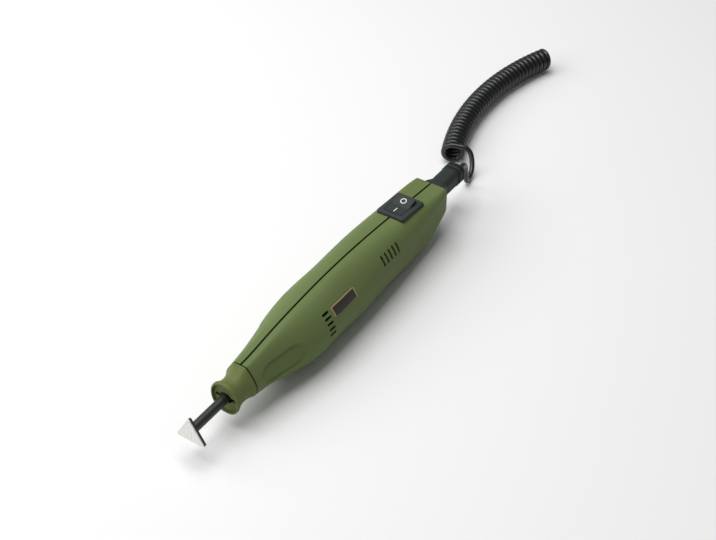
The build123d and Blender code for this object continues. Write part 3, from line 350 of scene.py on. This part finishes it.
def abrasive(name, paper, lines, rough):
    """Abrasive paper: pale grit, with faint wavy lines down the sheet."""
    tree, shader = new_material(name)
    shader.inputs["Roughness"].default_value = rough
    spot = tree.nodes.new("ShaderNodeTexCoord")
    waves = new_node(tree, "ShaderNodeTexWave", {
        "Scale": 160.0, "Distortion": 5.0, "Detail": 2.0, "Detail Scale": 1.4,
    })
    waves.bands_direction = "Y"
    tree.links.new(spot.outputs["Object"], waves.inputs["Vector"])
    crests = remap(tree, waves.outputs["Fac"], old=(0.55, 0.95))
    grit = noise(tree, scale=4200.0, detail=2.0, roughness=0.8)
    link_inputs(tree, shader, {
        "Base Color": mix(tree, crests, paper, lines),
        "Normal": bumped(tree, grit, depth=0.00012, strength=0.8),
    })


# Finishes of the handle, the cord and the plug

# The housing and the nose get painted shade in gaps, slots and seams within 2.2 mm
moulded(
    "housing_green", (0.142, 0.186, 0.070), (0.128, 0.170, 0.063),
    rough=0.52, edge=0.0005, gloss=0.08, painted_shade_reach=0.0022,
)
moulded(
    "nose_green", (0.146, 0.178, 0.062), (0.132, 0.163, 0.056),
    rough=0.50, edge=0.0005, gloss=0.08, painted_shade_reach=0.0022,
)
moulded(
    "boot_grey", (0.032, 0.041, 0.038), (0.026, 0.034, 0.031),
    rough=0.55, edge=0.0002, gloss=0.15,
)
framed(
    "plate_dark", field=(0.024, 0.024, 0.022), line=(0.42, 0.31, 0.13),
    margins=(0.035, 0.10), rough=0.45,
)
moulded("cord_black", (0.010, 0.012, 0.011), (0.007, 0.009, 0.008), rough=0.30, edge=0.0)
moulded("plug_black", (0.016, 0.017, 0.016), (0.011, 0.012, 0.011), rough=0.5)
metal("plug_metal", (0.74, 0.74, 0.72), (0.66, 0.66, 0.64), rough=0.22)

# Finishes of the switch and the arm

moulded("switch_black", (0.044, 0.053, 0.049), (0.036, 0.045, 0.041), rough=0.55, gloss=0.15)
moulded("rocker_black", (0.040, 0.049, 0.046), (0.033, 0.042, 0.038), rough=0.55, gloss=0.15)
moulded("mark_white", (0.85, 0.85, 0.83), (0.78, 0.78, 0.76), rough=0.5, edge=0.0)
moulded("arm_dark", (0.022, 0.026, 0.021), (0.016, 0.019, 0.015), rough=0.40)
abrasive("abrasive_white", paper=(0.90, 0.90, 0.87), lines=(0.81, 0.80, 0.77), rough=0.9)

# Finishes of the pieces inside

moulded("black_nylon", (0.030, 0.030, 0.029), (0.022, 0.022, 0.021), rough=0.5)
metal("steel", (0.56, 0.56, 0.56), (0.44, 0.44, 0.45), rough=0.32)
metal("can_steel", (0.62, 0.62, 0.60), (0.52, 0.52, 0.51), rough=0.36)
moulded("magnet_ferrite", (0.035, 0.035, 0.037), (0.025, 0.025, 0.027), rough=0.7)
metal("bronze", (0.52, 0.36, 0.18), (0.42, 0.28, 0.13), rough=0.45)
metal("copper", (0.78, 0.38, 0.22), (0.62, 0.28, 0.15), rough=0.30)
moulded("carbon", (0.018, 0.018, 0.019), (0.012, 0.012, 0.013), rough=0.6)
moulded("wire_red", (0.34, 0.025, 0.020), (0.28, 0.020, 0.016), rough=0.42, edge=0.0)

for subpart in frame["record"]["subparts"]:
    mesh = nodes[subpart["node"]].data
    mesh.materials.clear()
    mesh.materials.append(finishes[subpart["material_slot"]])
cord.data.materials.append(finishes["cord_black"])


# Floor and soft studio light

floor_reach = 6.0
floor_light = (0.84, 0.84, 0.84)
floor_dark = (0.82, 0.82, 0.82)
floor_rough = 0.8
sky_colour = (1.0, 1.0, 1.0)
sky_strength = 0.19

floor_signs = ((-1, -1), (1, -1), (1, 1), (-1, 1))
floor_corners = [(x * floor_reach, y * floor_reach, 0) for x, y in floor_signs]
floor_mesh = bpy.data.meshes.new("floor")
floor_mesh.from_pydata(floor_corners, [], [(0, 1, 2, 3)])
floor_tree, floor_shader = new_material("floor_paint")
floor_patches = noise(floor_tree, scale=3.0, detail=2.0)
floor_shader.inputs["Roughness"].default_value = floor_rough
link_inputs(floor_tree, floor_shader, {
    "Base Color": mix(floor_tree, floor_patches, floor_light, floor_dark),
})
floor_mesh.materials.append(finishes["floor_paint"])
floor = bpy.data.objects.new("floor", floor_mesh)
scene.collection.objects.link(floor)


def softbox(name, place, target, size, power):
    """A square light panel that faces a point."""
    panel = bpy.data.lights.new(name, "AREA")
    panel.size = size
    panel.energy = power
    aim(bpy.data.objects.new(name, panel), place, Vector(target) - Vector(place))


softbox("overhead", place=(0.05, 0.35, 1.3), target=(0.05, 0.0, 0.0), size=1.0, power=15.5)
softbox("left_key", place=(-0.35, 0.95, 0.75), target=(0.0, 0.0, 0.02), size=0.7, power=5.0)
softbox("front_fill", place=(-0.9, 0.5, 0.5), target=(-0.1, 0.0, 0.02), size=0.6, power=3.0)
world = bpy.data.worlds.new("studio")
world.use_nodes = True
sky = world.node_tree.nodes["Background"]
sky.inputs["Color"].default_value = (*sky_colour, 1)
sky.inputs["Strength"].default_value = sky_strength
scene.world = world
scene.view_settings.view_transform = "Standard"
